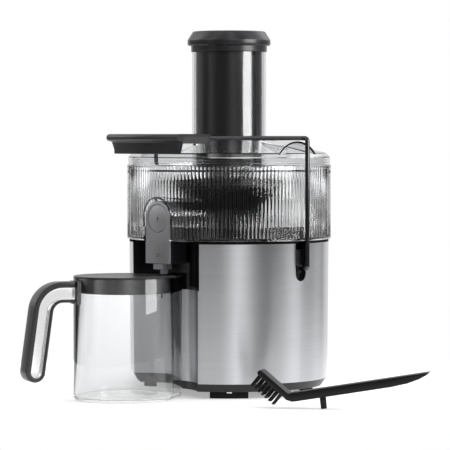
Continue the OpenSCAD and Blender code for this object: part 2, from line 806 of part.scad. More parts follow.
module speed_knob() {
    face = shell_r + 16;
    color("silver") translate([-face, 0, dial_z]) rotate([0, 90, 0]) {
        difference() {
            union() {
                cylinder(d1 = dial_d - 3, d2 = dial_d, h = face - shell_r - dial_gap);
                translate([-dial_d / 2 + 2, -1, -0.8]) cube([9, 2, 3]);
            }
            translate([0, 0, 3]) cylinder(d = dial_d - 6, h = 30);
        }
        cylinder(r = shaft_r, h = face - housing_r + 12);
    }
}

module drip_knob() {
    color("gainsboro") translate([0, -spout_y, knob_z]) rotate([-90, 0, 0]) {
        cylinder(d = knob_d, h = 3.6);
        cylinder(r = spindle_r, h = 12);
    }
}

// The plug on the knob's spindle that shuts the channel when it is turned.
module drip_valve() {
    color("black") translate([0, -spout_y + 12.1, knob_z]) rotate([-90, 0, 0]) {
        cylinder(r = valve_r, h = 3);
        translate([-3, 0, 0]) cube([6, valve_r + 2, 3]);
    }
}

// A round outline with one pouring nose along +X, joined by its two tangent lines.
module nosed(r, reach, tip_r) {
    c = reach - tip_r;
    a = acos((r - tip_r) / c);
    circle(r);
    translate([c, 0]) circle(tip_r);
    side = [cos(a), sin(a)];
    from = (r - weld) * side;
    to = [c, 0] + (tip_r - weld) * side;
    polygon([[0, 0], [from[0], -from[1]], [to[0], -to[1]], to, from]);
}

// The jug's own frame: its centre on the table, the nose along +X and the handle along -X.
module at_jug() translate([jug_x, -recess_y - 0.5, 0]) rotate(90 - jug_turn) children();

module jug_body() {
    color([0.9, 0.92, 0.94, 0.35]) at_jug() difference() {
        linear_extrude(jug_h) nosed(jug_r, nose_reach, nose_r);
        translate([0, 0, jug_floor]) linear_extrude(jug_h) nosed(jug_r - jug_wall, nose_reach - jug_wall,
            nose_r - jug_wall);
    }
}

// The handle's outline in the jug's upright plane: out from the wall, round the bend, and down
// to a round free end. It is half wide either side of a centreline that is moved out by shift.
bend_c = [jug_r + 18, jug_h - 36.5];
bend_big = 22;
leg_tilt = 8;
leg_len = 66;
bend_steps = 12;
function along(a) = [cos(a), sin(a)];
function bend_arc(r) =
    [for (k = [0:bend_steps]) bend_c + r * along(90 - k * (90 - leg_tilt) / bend_steps)];
function leg_end(r, half) = [for (k = [1:bend_steps - 1]) bend_c + r * along(leg_tilt)
    + leg_len * along(leg_tilt - 90) + half * along(leg_tilt - k * 180 / bend_steps)];
function leg_foot(r) = [bend_c + r * along(leg_tilt) + leg_len * along(leg_tilt - 90)];
function reversed(list) = [for (k = [len(list) - 1:-1:0]) list[k]];
function handle_outline(start, shift, half) = reversed(concat(
    [[start, bend_c[1] + bend_big + shift + half]], bend_arc(bend_big + shift + half),
    leg_foot(bend_big + shift + half), leg_end(bend_big + shift, half),
    leg_foot(bend_big + shift - half), reversed(bend_arc(bend_big + shift - half)),
    [[start, bend_c[1] + bend_big + shift - half]]));

module handle_plate(start, shift, half, w) {
    at_jug() mirror([1, 0, 0]) rotate([90, 0, 0]) translate([0, 0, -w / 2]) linear_extrude(w)
        polygon(handle_outline(start, shift, half));
}

window_half = handle_t / 2 - 4.5;
module jug_handle_core() {
    color([0.9, 0.92, 0.94, 0.4]) handle_plate(jug_r + shoe_t, -1.5, window_half - 0.1, handle_w - 3);
}

module jug_grip() {
    color("dimgray") difference() {
        handle_plate(jug_r + shoe_t, 0, handle_t / 2, handle_w);
        handle_plate(jug_r - 10, -1.5, window_half, handle_w + 2);
    }
}

// The shoe that carries the handle on the jug's wall.
module jug_shoe() {
    color("gray") at_jug() rotate(180) arc_block(jug_r, jug_r + shoe_t, shoe_half,
        bend_c[1] + bend_big - 13, jug_h - 3);
}

module jug_lid() {
    skirt_r = jug_r - jug_wall - jug_clear;
    color("dimgray") at_jug() difference() {
        union() {
            translate([0, 0, jug_h]) cylinder(r = jug_r, h = 1.8);
            tube(skirt_r, skirt_r - 1.8, jug_h - jug_skirt, jug_h + 0.1);
        }
        translate([0, 0, jug_h - 40]) linear_extrude(60) intersection() {
            translate([notch_x, 0]) circle(notch_r);
            translate([froth_x - 1, -30]) square(60);
        }
    }
}

// The clear wall below the lid that holds the froth back from the nose.
module froth_separator() {
    color([0.92, 0.94, 0.96, 0.4]) at_jug() difference() {
        translate([froth_x, -30, jug_h - jug_skirt - 9]) cube([1.8, 60, jug_skirt + 8.9]);
        translate([froth_x - 1, -31, jug_h - jug_skirt - 9]) rotate([8, 0, 0])
            translate([-1, -1, -20]) cube([6, 80, 20]);
        difference() {
            cylinder(r = 90, h = big);
            translate([0, 0, -1]) cylinder(r = jug_r - jug_wall - jug_clear - 2, h = big + 2);
        }
    }
}

// The cleaning brush lies on its tufts and its peg. Its own plane is x along it and z up.
brush_at = [146.6, -122.1];
brush_turn = 33;
head_len = 40;
neck = [47, 12];
tip_z = 38;
module at_brush() translate([brush_at[0], brush_at[1], 0]) rotate(brush_turn) children();

module brush_profile() {
    slope = atan((tip_z - neck[1]) / brush_len);
    translate(neck) rotate(180 - head_tilt) translate([0, -3]) square([head_len, 6]);
    translate(neck) rotate(180 - head_tilt) translate([head_len, 0]) circle(3);
    translate(neck) circle(4);
    translate(neck) rotate(slope) {
        difference() {
            translate([0, -5]) square([brush_len - 6, 9.5]);
            translate([brush_len - 48, 0]) rotate(-9) translate([0, -16]) square([90, 11]);
        }
    }
}

module brush_body() {
    color("black") at_brush() {
        rotate([90, 0, 0]) translate([0, 0, -brush_w / 2]) linear_extrude(brush_w) brush_profile();
        translate([82.8, 0, 0]) rotate([0, -6, 0]) translate([0, 0, 0.3]) cylinder(r = 3.4, h = 14);
    }
}

module brush_bristles() {
    pitch = (head_len - 6) / tuft_rows;
    color("black") at_brush() translate([neck[0], 0, neck[1]]) rotate([0, head_tilt, 0])
        for (k = [0:tuft_rows - 1], j = [-2:2])
            translate([-head_len + 2 + k * pitch, j * 4, -14 - 3.2]) cylinder(r = 1.7, h = 14, $fn = 24);
}

outer_shell();
inner_housing();
recess_backing();
recess_panel();
recess_surround();
base_tray();
rubber_feet();
base_screws();
top_deck();
shaft_seal();
pivot_bush_right();
pivot_bush_left();
cord_gland();
motor_stator();
motor_coils();
motor_frame();
motor_screws();
vibration_mounts();
upper_bearing();
lower_bearing();
brush_holders();
control_board();
speed_switch();
lock_switch();
pulp_container();
juice_collector();
spout_block();
spout_cover();
spout_nozzle();
lid();
lid_seal();
motor_shaft();
armature();
commutator();
cooling_fan();
drive_coupling();
basket_hub();
sieve_cone();
basket_rim();
grating_disc();
pusher_body();
pusher_cap();
lock_rod();
lock_grip();
grip_screws();
speed_knob();
drip_knob();
drip_valve();
jug_body();
jug_handle_core();
jug_grip();
jug_shoe();
jug_lid();
froth_separator();
brush_body();
brush_bristles();
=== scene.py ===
# %% [markdown]
# # A centrifugal juicer
# The machine stands on a pale table: a steel base with a recess for the jug, a clear ribbed bowl for
# the pulp, a clear lid with a feed tube, a pusher, a bent locking rod with a grip, a drip-stop spout,
# the jug and a cleaning brush. The frame holds every part that fits or moves. These cells give the
# parts their finish, and model again the ones whose look needs finer shape than the frame has.

# %% Load the frame
import math
import random

import bmesh
import bpy
from mathutils import Matrix, Vector


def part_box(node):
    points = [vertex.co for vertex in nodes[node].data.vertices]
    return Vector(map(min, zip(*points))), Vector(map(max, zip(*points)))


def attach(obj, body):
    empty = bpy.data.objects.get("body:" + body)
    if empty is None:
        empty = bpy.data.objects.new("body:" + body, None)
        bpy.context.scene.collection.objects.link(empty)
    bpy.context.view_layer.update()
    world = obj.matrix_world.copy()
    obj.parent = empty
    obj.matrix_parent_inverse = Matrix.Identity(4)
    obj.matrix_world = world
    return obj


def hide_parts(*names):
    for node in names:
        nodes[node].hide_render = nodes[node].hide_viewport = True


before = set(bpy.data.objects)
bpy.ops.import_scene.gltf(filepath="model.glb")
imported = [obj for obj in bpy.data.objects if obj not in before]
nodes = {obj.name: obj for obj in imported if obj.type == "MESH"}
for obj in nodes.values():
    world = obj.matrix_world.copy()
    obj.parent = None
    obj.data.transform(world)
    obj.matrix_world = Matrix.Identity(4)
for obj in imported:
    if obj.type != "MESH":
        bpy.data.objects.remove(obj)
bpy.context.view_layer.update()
MM = 0.001
print("frame loaded,", len(nodes), "nodes")

# %% [markdown]
# ## Camera
# A long lens from three metres keeps the machine's uprights nearly parallel. The camera stands level
# with the lid, an eighth of a turn round to the machine's right, and tips down a little. A vertical shift would do the same, but then every other view would carry it along.

# %% Set up the camera
towards_camera = Vector((1, -1, 0)).normalized()
screen_right = Vector((1, 1, 0)).normalized()
camera_data = bpy.data.cameras.new("camera")
camera_data.sensor_width = 36
camera_data.lens = 223.4
camera = bpy.data.objects.new("camera", camera_data)
bpy.context.scene.collection.objects.link(camera)
camera_distance, camera_height, camera_left = 3.1, 0.285, 0.00444
camera.location = (towards_camera * camera_distance - screen_right * camera_left
                   + Vector((0, 0, camera_height)))
tip_down = math.radians(1.856)
camera.rotation_euler = (math.radians(90) - tip_down, 0, math.radians(45))
bpy.context.scene.camera = camera
bpy.context.scene.view_settings.view_transform = "Standard"
print("camera at", [round(v, 3) for v in camera.location])

# %% [markdown]
# ## Light
# Polished and brushed steel show nothing but what stands around them. A studio would set tall
# strip boxes round the machine, with dark gaps between them. Area lamps could do it, but a sky whose
# brightness depends only on the compass direction gives the same upright bands on every side, and
# clean ones. The bands are listed as turns from the camera, to the right, with their brightness.

# %% Build the studio sky
# Each band: degrees to the right of the camera, brightness.
BANDS = [(-180, 0.85), (-150, 0.5), (-140, 0.4), (-117, 1.4), (-99, 1.1), (-88, 0.35), (-74, 0.3),
         (-62, 1.5), (-50, 0.7), (-38, 0.2), (-26, 0.22), (-12, 0.2), (-6, 0.32), (0, 0.6), (8, 1.25),
         (14, 1.3), (21, 0.85), (28, 0.4), (35, 0.1), (42, 0.0), (50, 0.0), (57, 0.04), (65, 0.2),
         (73, 0.6), (82, 1.3), (91, 1.0), (101, 0.5), (112, 0.5), (125, 1.2), (142, 1.2), (180, 0.85)]

world = bpy.data.worlds.new("studio")
bpy.context.scene.world = world
world.use_nodes = True
sky = world.node_tree
sky.nodes.clear()


def sky_node(kind, **settings):
    made = sky.nodes.new("ShaderNode" + kind)
    for name, value in settings.items():
        setattr(made, name, value)
    return made


def sky_dot(vector):
    dot = sky_node("VectorMath", operation="DOT_PRODUCT")
    dot.inputs[1].default_value = vector
    sky.links.new(direction.outputs["Generated"], dot.inputs[0])
    return dot.outputs["Value"]


def sky_stops(ramp, levels, blue=1.0):
    """Fills a ramp with (position, brightness) pairs."""
    elements = ramp.color_ramp.elements
    for index, (position, level) in enumerate(levels):
        stop = elements[0] if index == 0 else elements.new(position)
        stop.position = position
        stop.color = (level, level, level * blue, 1)


print(len(BANDS), "bands listed")

# %% [markdown]
# The direction of a ray gives its turn from the camera and its height. The turn picks the band and
# the height says how far up the band hangs. The two are multiplied.

# %% Wire the bands
direction = sky_node("TexCoord")
turn = sky_node("Math", operation="ARCTAN2")
sky.links.new(sky_dot(screen_right), turn.inputs[0])
sky.links.new(sky_dot(towards_camera), turn.inputs[1])
place = sky_node("MapRange")
place.inputs["From Min"].default_value = -math.pi
place.inputs["From Max"].default_value = math.pi
sky.links.new(turn.outputs[0], place.inputs["Value"])
ramp = sky_node("ValToRGB")
sky.links.new(place.outputs["Result"], ramp.inputs["Fac"])
sky_stops(ramp, [((degrees + 180) / 360, level) for degrees, level in BANDS], blue=1.01)
# The strip boxes hang a little above eye level. Brushed steel smears them down to the level, and
# gloss plastic shows the dark gap below them.
rise = sky_node("MapRange")
rise.inputs["From Min"].default_value = -1.0
sky.links.new(sky_dot(Vector((0, 0, 1))), rise.inputs["Value"])
height_ramp = sky_node("ValToRGB")
sky.links.new(rise.outputs["Result"], height_ramp.inputs["Fac"])
# Each height: 0 is straight down and 1 straight up, brightness.
HEIGHTS = [(0.0, 0.15), (0.36, 0.15), (0.44, 0.1), (0.55, 0.1), (0.61, 0.85), (0.8, 0.8), (0.93, 0.45),
           (1.0, 0.4)]
sky_stops(height_ramp, HEIGHTS)
hung = sky_node("Mix", data_type="RGBA", blend_type="MULTIPLY")
hung.inputs[0].default_value = 1.0
sky.links.new(ramp.outputs["Color"], hung.inputs[6])
sky.links.new(height_ramp.outputs["Color"], hung.inputs[7])
print("sky with", len(ramp.color_ramp.elements), "bands and", len(HEIGHTS), "heights")

# %% [markdown]
# Straight behind the machine stands a white screen, which the clear parts are seen against. Rays that
# come straight from the camera see plain white everywhere, so the surroundings stay out of view.

# %% Set the white screen
behind = sky_node("MapRange", interpolation_type="SMOOTHSTEP")
behind.inputs["From Min"].default_value = 0.72
behind.inputs["From Max"].default_value = 0.9
sky.links.new(sky_dot(-towards_camera), behind.inputs["Value"])
blend = sky_node("Mix", data_type="RGBA")
blend.inputs[7].default_value = (0.4, 0.4, 0.4, 1)
sky.links.new(behind.outputs["Result"], blend.inputs[0])
sky.links.new(hung.outputs[2], blend.inputs[6])
banded = sky_node("Background")
banded.inputs["Strength"].default_value = 2.0
sky.links.new(blend.outputs[2], banded.inputs["Color"])
backdrop = sky_node("Background")
backdrop.inputs["Color"].default_value = (1, 1, 1, 1)
seen = sky_node("LightPath")
choose = sky_node("MixShader")
sky.links.new(seen.outputs["Is Camera Ray"], choose.inputs[0])
sky.links.new(banded.outputs[0], choose.inputs[1])
sky.links.new(backdrop.outputs[0], choose.inputs[2])
sky.links.new(choose.outputs[0], sky_node("OutputWorld").inputs["Surface"])
print("sky has", len(sky.nodes), "nodes")

# %% [markdown]
# Gloss plastic reflects only a twentieth of what it sees, so the bands leave it almost black. One
# strong strip lamp on the right draws its bright edges. On the steel it would burn out, so the steel
# is left out of its light, as a black flag on a stand would do.

# %% Add the strip lamp
strip_data = bpy.data.lights.new("right_strip", "AREA")
strip_data.shape = "RECTANGLE"
strip_data.size, strip_data.size_y = 0.85, 0.9
strip_data.energy = 24
strip = bpy.data.objects.new("right_strip", strip_data)
bpy.context.scene.collection.objects.link(strip)
strip_turn = math.radians(60)
outward = towards_camera * math.cos(strip_turn) + screen_right * math.sin(strip_turn)
strip_distance, strip_height = 1.6, 0.72
strip.location = outward * strip_distance + Vector((0, 0, strip_height))
strip.rotation_euler = outward.to_track_quat("Z", "Y").to_euler()
flagged = bpy.data.collections.new("flagged_from_the_strip")
strip.light_linking.receiver_collection = flagged
for index, name in enumerate(["outer_shell", "recess_panel"]):
    flagged.objects.link(nodes[name])
    flagged.collection_objects[index].light_linking.link_state = "EXCLUDE"
print("strip", strip_data.energy, "W")

# %% [markdown]
# ## Finishes
# Shader maths reads best as plain expressions. A small class holds one socket of one material, and
# its operators add the Math nodes, so a mask can be written as 1 - streaks * 0.4.


# %% Wrap a socket
class Wire:
    """One output of a node, which can be added, multiplied and so on."""

    def __init__(self, finish, socket):
        self.finish = finish
        self.socket = socket

    def _math(self, operation, a, b):
        return self.finish.add("Math", {"operation": operation}, {0: a, 1: b})

    def __add__(self, other):
        return self._math("ADD", self, other)

    def __sub__(self, other):
        return self._math("SUBTRACT", self, other)

    def __rsub__(self, other):
        return self._math("SUBTRACT", other, self)

    def __mul__(self, other):
        return self._math("MULTIPLY", self, other)

    __radd__ = __add__
    __rmul__ = __mul__


print("wires add, subtract and multiply")

# %% [markdown]
# The second class holds the material itself. Constants go straight on the shader's sockets, and only
# what varies over the surface is wired. One method adds any other node.


# %% Wrap a material
class Finish:
    """A material with one Principled shader, and its constants set on the shader's own sockets."""

    def __init__(self, name, **constants):
        self.material = bpy.data.materials.new(name)
        self.material.use_nodes = True
        self.tree = self.material.node_tree
        self.shader = self.tree.nodes["Principled BSDF"]
        for key, value in constants.items():
            self.shader.inputs[key.replace("_", " ")].default_value = value

    def add(self, kind, settings, inputs, output=0):
        node = self.tree.nodes.new("ShaderNode" + kind)
        for key, value in settings.items():
            setattr(node, key, value)
        for key, value in inputs.items():
            if isinstance(value, Wire):
                self.tree.links.new(value.socket, node.inputs[key])
            else:
                node.inputs[key].default_value = value
        return Wire(self, node.outputs[output])

    def feed(self, name, wire):
        self.tree.links.new(wire.socket, self.shader.inputs[name])

    def place(self, scale=(1, 1, 1)):
        here = self.add("TexCoord", {}, {}, "Object")
        return self.add("Mapping", {}, {"Vector": here, "Scale": scale})

    def noise(self, where, scale, detail=2.0, roughness=0.5):
        sizes = {"Vector": where, "Scale": scale, "Detail": detail, "Roughness": roughness}
        return self.add("TexNoise", {}, sizes, "Fac")

    def between(self, mask, low, high):
        blend = {0: mask, 6: (*low, 1), 7: (*high, 1)}
        return self.add("Mix", {"data_type": "RGBA"}, blend, 2)

    def bump(self, height, strength, distance):
        inputs = {"Strength": strength, "Distance": distance, "Height": height}
        self.feed("Normal", self.add("Bump", {}, inputs))


print("a finish can be made with", Finish.__name__)

# %% [markdown]
# ### Steel
# The shell is rolled from sheet that was brushed along its length, so the lines run level round it.
# Noise that is stretched along X and Y and squeezed in Z gives them, and anisotropy spreads the
# highlights across the lines, as real brushing does.


# %% Make the steels
def brushed(name, colour, roughness, lines, anisotropy):
    steel = Finish(name, Metallic=1.0, Anisotropic=anisotropy, Anisotropic_Rotation=0.25)
    fine = steel.noise(steel.place((1, 1, lines)), 22, 3.0, 0.65)
    broad = steel.noise(steel.place((1, 1, lines / 9)), 12, 2.0)
    streaks = fine * 0.7 + broad * 0.3
    dull, bright = [c * 0.84 for c in colour], [c * 1.12 for c in colour]
    steel.feed("Base Color", steel.between(streaks, dull, bright))
    steel.feed("Roughness", roughness + (streaks - 0.5) * 0.16)
    steel.bump(fine, 0.08, 0.0001)
    return steel


shell_steel = brushed("shell_steel", (0.63, 0.635, 0.65), 0.31, 110, 0.95)
bright_steel = brushed("bright_steel", (0.68, 0.68, 0.7), 0.2, 25, 0.0)


def rod_finish():
    """Dark polished plating, a little uneven as drawn wire is."""
    dark = Finish("rod_plating", Metallic=1.0)
    along = dark.noise(dark.place(), 60, 3.0)
    dark.feed("Base Color", dark.between(along, (0.06, 0.06, 0.063), (0.1, 0.1, 0.105)))
    dark.feed("Roughness", 0.16 + along * 0.1)
    return dark


rod_plating = rod_finish()


def sieve_finish():
    """Etched sheet: rows of small round holes on bright metal, with painted shade: each hole is a dull
    near-black spot standing for the dark seen through it.
    """
    sieve = Finish("sieve_sheet")
    cells = {"Vector": sieve.place(), "Scale": 620.0, "Randomness": 0.25}
    distance = sieve.add("TexVoronoi", {}, cells, "Distance")
    shaded_hole = sieve.add("Math", {"operation": "LESS_THAN"}, {0: distance, 1: 0.3})
    # Painted shade: the holes are not cut, and their near-black colour stands for the dark seen
    # through them.
    sieve.feed("Base Color", sieve.between(shaded_hole, (0.5, 0.51, 0.53), (0.01, 0.01, 0.01)))
    sieve.feed("Metallic", 1 - shaded_hole)
    sieve.feed("Roughness", 0.28 + shaded_hole * 0.5)
    sieve.bump(1 - shaded_hole, 0.5, 0.0003)
    return sieve


sieve_sheet = sieve_finish()
print(len(bpy.data.materials), "metals")

# %% [markdown]
# ### Plastics
# Moulded plastic is one colour all through, and its look comes from the mould: polished for the
# pusher and the recess, spark-eroded to a fine even grain for the grip and the cap. Slow noise in the
# roughness stands for handling, and fine noise as bump for the grain.


# %% Make the opaque plastics
def moulded(name, colour, roughness, grain=0.0, coat=0.0, spread=0.12, shine=0.5):
    plastic = Finish(name, Coat_Weight=coat, Coat_Roughness=0.05, Specular_IOR_Level=shine)
    slow = plastic.noise(plastic.place(), 18, 3.0)
    shade = plastic.noise(plastic.place(), 55, 2.0)
    dark, light = [c * 0.9 for c in colour], [c * 1.1 for c in colour]
    plastic.feed("Base Color", plastic.between(shade, dark, light))
    plastic.feed("Roughness", roughness * (1 - spread / 2) + slow * (roughness * spread))
    if grain:
        plastic.bump(plastic.noise(plastic.place(), 2600, 1.0), grain, 0.00012)
    return plastic


grip_grey = moulded("grip_grey", (0.024, 0.024, 0.026), 0.33, 0.1)
cap_grey = moulded("cap_grey", (0.02, 0.02, 0.022), 0.3, 0.1)
pusher_grey = moulded("pusher_grey", (0.018, 0.018, 0.02), 0.42, 0.0, 0.12)
black_gloss = moulded("black_gloss", (0.004, 0.004, 0.0045), 0.12, 0.0, 0.0, shine=0.35)
black_satin = moulded("black_satin", (0.004, 0.004, 0.0045), 0.36, 0.12, shine=0.22)
tray_black = moulded("tray_black", (0.012, 0.012, 0.013), 0.36, 0.15, shine=0.35)
deck_black = moulded("deck_black", (0.003, 0.003, 0.003), 0.8, 0.1, shine=0.08)
rubber = moulded("rubber", (0.008, 0.008, 0.008), 0.7, 0.3, shine=0.2)
silver = moulded("silver_lacquer", (0.5, 0.5, 0.51), 0.34, 0.05, 0.2)
silver.shader.inputs["Metallic"].default_value = 0.75
dim_silver = moulded("nozzle_grey", (0.28, 0.28, 0.29), 0.4, 0.08)
block_grey = moulded("spout_block_grey", (0.012, 0.012, 0.014), 0.28, 0.08)
mark_ink = moulded("mark_ink", (0.01, 0.01, 0.01), 0.5)
copper = moulded("copper_wire", (0.45, 0.16, 0.07), 0.35)
board_green = moulded("board_green", (0.02, 0.12, 0.05), 0.4)
lamination = moulded("lamination", (0.22, 0.22, 0.23), 0.45, 0.2)
print(len(bpy.data.materials), "metals and opaque finishes")

# %% [markdown]
# ### Clear plastic
# The bowl, lid and jug are clear walls two millimetres thick, and what shows them is the bending of
# light at their edges and ribs. So they are real closed walls with a transmitting shader, and not a
# film with alpha. Slight noise in the roughness stands for the flow of the plastic.


# %% Make the clear plastics
def clear(name, tint, roughness):
    plastic = Finish(name, Transmission_Weight=1.0, IOR=1.46)
    flow = plastic.noise(plastic.place((1, 1, 0.4)), 14, 2.0)
    plastic.feed("Base Color", plastic.between(flow, [c * 0.985 for c in tint], tint))
    plastic.feed("Roughness", roughness + flow * 0.012)
    return plastic


clear_bowl = clear("clear_bowl", (0.97, 0.975, 0.98), 0.0)
clear_lid = clear("clear_lid", (0.96, 0.965, 0.97), 0.0)
clear_jug = clear("clear_jug", (0.9, 0.905, 0.905), 0.0)
frosted = clear("frosted_core", (0.97, 0.97, 0.975), 0.22)
smoked = clear("smoked_shoe", (0.5, 0.5, 0.52), 0.18)
print(len(bpy.data.materials), "materials in all, before the floor's")

# %% [markdown]
# ## Finishes for the frame's own parts
# These nodes already have the right shape, so they only take a finish.

# %% Give each kept node its finish
FINISHES = {
    shell_steel: ["outer_shell", "recess_panel"],
    bright_steel: ["base_screws", "motor_screws", "grip_screws", "upper_bearing", "lower_bearing",
                   "motor_shaft", "motor_frame", "grating_disc"],
    sieve_sheet: ["sieve_cone"],
    block_grey: ["inner_housing", "recess_backing", "spout_block", "pivot_bush_right",
                 "pivot_bush_left"],
    black_gloss: ["recess_surround", "juice_collector", "basket_rim"],
    tray_black: ["base_tray"],
    deck_black: ["top_deck"],
    black_satin: ["cooling_fan", "drive_coupling", "basket_hub", "speed_switch", "lock_switch"],
    rubber: ["rubber_feet", "shaft_seal", "cord_gland", "vibration_mounts", "lid_seal", "drip_valve"],
    copper: ["motor_coils", "brush_holders", "commutator"],
    lamination: ["motor_stator", "armature"],
    board_green: ["control_board"],
    clear_lid: ["lid", "froth_separator"],
    pusher_grey: ["pusher_body"],
    dim_silver: ["spout_nozzle"],
    silver: ["speed_knob"],
    smoked: ["jug_shoe"],
}
for finish, names in FINISHES.items():
    for name in names:
        nodes[name].data.materials.clear()
        nodes[name].data.materials.append(finish.material)
print("finished", sum(len(names) for names in FINISHES.values()), "nodes")

# %% [markdown]
# ## Modelling helpers
# Most of the pieces are turned, or cut from an outline. One helper spins a profile, one raises an
# outline to a slab, one cuts a piece with another, and one hands the mesh over to the frame.


# %% Turn a profile and raise an outline
def settle(bm):
    """Merges what a spin left double, and turns every face outwards."""
    bmesh.ops.remove_doubles(bm, verts=bm.verts, dist=1e-6)
    bmesh.ops.recalc_face_normals(bm, faces=bm.faces)
    return bm


def turned(profile, steps=128):
    """A closed profile of (radius, height) in mm, spun about Z."""
    bm = bmesh.new()
    ring = [bm.verts.new((r * MM, 0, z * MM)) for r, z in profile]
    edges = [bm.edges.new((ring[k - 1], ring[k])) for k in range(1, len(ring))]
    if profile[0][0] > 0.01:
        edges.append(bm.edges.new((ring[-1], ring[0])))
    bmesh.ops.spin(bm, geom=ring + edges, cent=(0, 0, 0), axis=(0, 0, 1), angle=2 * math.pi,
                   steps=steps, use_merge=True)
    return settle(bm)


def slab(outline, low, high):
    """An outline of (x, y) in mm, raised from one height to another."""
    bm = bmesh.new()
    face = bm.faces.new([bm.verts.new((x * MM, y * MM, low * MM)) for x, y in outline])
    raised = bmesh.ops.extrude_face_region(bm, geom=[face])["geom"]
    top = [v for v in raised if isinstance(v, bmesh.types.BMVert)]
    bmesh.ops.translate(bm, verts=top, vec=(0, 0, (high - low) * MM))
    return settle(bm)


print("helpers to turn and to raise")

# %% [markdown]
# Moulded edges are never sharp, so most forms have theirs rounded. Holes and gaps are cut with a
# Boolean, because the edge that it leaves is clean whatever the two shapes are.


# %% Round, join, move and cut
def soften(bm, width, segments=2, angle=35):
    """Rounds the edges that are sharper than an angle."""
    limit = math.radians(angle)
    edges = [e for e in bm.edges if len(e.link_faces) == 2 and e.calc_face_angle() > limit]
    bmesh.ops.bevel(bm, geom=edges, offset=width * MM, offset_type="OFFSET", segments=segments,
                    profile=0.5, affect="EDGES", material=-1, clamp_overlap=True)
    return bm


def join(*parts):
    """One bmesh from several."""
    whole = bmesh.new()
    for part in parts:
        mesh = bpy.data.meshes.new("part")
        part.to_mesh(mesh)
        whole.from_mesh(mesh)
        bpy.data.meshes.remove(mesh)
        part.free()
    return whole


def moved(bm, matrix):
    """Turns and shifts a whole form."""
    bmesh.ops.transform(bm, matrix=matrix, verts=bm.verts)
    return bm


def grown_ring(bm, edges):
    """Extrudes a ring of edges, and gives back the new ring's points and edges."""
    grown = bmesh.ops.extrude_edge_only(bm, edges=edges)["geom"]
    points = [g for g in grown if isinstance(g, bmesh.types.BMVert)]
    inside = set(points)
    lines = [g for g in grown if isinstance(g, bmesh.types.BMEdge)]
    return points, [e for e in lines if all(v in inside for v in e.verts)]


def cut(bm, cutter):
    """Takes the cutter's volume away from a piece."""
    objects = []
    for form in (bm, cutter):
        mesh = bpy.data.meshes.new("cutting")
        form.to_mesh(mesh)
        form.free()
        objects.append(bpy.data.objects.new("cutting", mesh))
        bpy.context.scene.collection.objects.link(objects[-1])
    modifier = objects[0].modifiers.new("cut", "BOOLEAN")
    modifier.object, modifier.operation, modifier.solver = objects[1], "DIFFERENCE", "EXACT"
    bpy.context.view_layer.update()
    evaluated = objects[0].evaluated_get(bpy.context.evaluated_depsgraph_get())
    result = bmesh.new()
    result.from_mesh(evaluated.to_mesh())
    evaluated.to_mesh_clear()
    for obj in objects:
        bpy.data.objects.remove(obj)
    return settle(result)


print("helpers to round, join, move and cut")

# %% [markdown]
# A finished mesh is shaded smooth except at its sharp edges, and rides the body it belongs to. Where
# it stands for a node of the frame, that node is hidden.


# %% Hand over a piece, and measure a node
def piece(name, bm, finish, body, stands_for=(), sharp=32):
    """Puts a finished mesh in the scene, shaded smooth but for its sharp edges."""
    for face in bm.faces:
        face.smooth = True
    for edge in bm.edges:
        if len(edge.link_faces) == 2:
            edge.smooth = edge.calc_face_angle() < math.radians(sharp)
    mesh = bpy.data.meshes.new(name)
    bm.to_mesh(mesh)
    bm.free()
    mesh.materials.append(finish.material)
    obj = bpy.data.objects.new(name, mesh)
    bpy.context.scene.collection.objects.link(obj)
    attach(obj, body)
    if stands_for:
        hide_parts(*stands_for)
    print(name, len(mesh.polygons), "faces")
    return obj


def arc(centre, radius, start, end, steps):
    """Points in mm along part of a circle, both ends included."""
    turns = [math.radians(start + (end - start) * k / steps) for k in range(steps + 1)]
    return [(centre[0] + radius * math.cos(t), centre[1] + radius * math.sin(t)) for t in turns]


def extent(node):
    """A node's box in mm."""
    low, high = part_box(node)
    return [v / MM for v in low], [v / MM for v in high]


print("the bowl's node is", [round(v, 1) for v in extent("pulp_container")[1]], "mm at its far corner")


# %% [markdown]
# ## The ribbed bowl
# The bowl is moulded with about 165 fine upright flutes, and they break everything behind them into
# dark and light stripes. A bump would not bend the light through the wall, so the flutes are real.
# One ring of edges is pulled up step by step, and the rows between the smooth bands are scalloped.

# %% Model the bowl
bowl_low, bowl_high = extent("pulp_container")
bowl_r = bowl_high[0]
bowl_z0, bowl_z1 = bowl_low[2], bowl_high[2]
WALL = 2.0
FLUTES = 165
FLUTE_STEPS = 6
FLUTE_DEPTH = 0.9
FLOOR_UP = 13
floor_z = bowl_z0 + FLOOR_UP


def fluted_wall():
    """The wall as a closed ring of rows: up the outside, over the rim and down the inside."""
    bm = bmesh.new()
    count = FLUTES * FLUTE_STEPS
    bmesh.ops.create_circle(bm, segments=count, radius=bowl_r * MM)
    loop = list(bm.verts)
    rows = [(bowl_r - 0.5, bowl_z0, 0), (bowl_r, bowl_z0 + 0.5, 0), (bowl_r, bowl_z0 + 2.4, 0),
            (bowl_r, bowl_z0 + 3.4, 1), (bowl_r, bowl_z1 - 2.6, 1), (bowl_r, bowl_z1 - 1.8, 0),
            (bowl_r, bowl_z1 - 0.4, 0), (bowl_r - 0.4, bowl_z1, 0), (bowl_r - WALL, bowl_z1, 0),
            (bowl_r - WALL, bowl_z0, 0)]
    first = edges = list(bm.edges)
    for index, (radius, height, scalloped) in enumerate(rows):
        if index:
            loop, edges = grown_ring(bm, edges)
        for vert in loop:
            turn_here = math.atan2(vert.co.y, vert.co.x)
            dip = FLUTE_DEPTH * (0.5 - 0.5 * math.cos(turn_here * FLUTES)) * scalloped
            vert.co = Vector((math.cos(turn_here), math.sin(turn_here), 0)) * ((radius - dip) * MM)
            vert.co.z = height * MM
    bmesh.ops.bridge_loops(bm, edges=first + edges)
    return settle(bm)


def arch_outline(half, crown, low):
    """An upright outline with a half-round top."""
    return [(half, low)] + arc((0, crown - half), half, 0, 180, 32) + [(-half, low)]


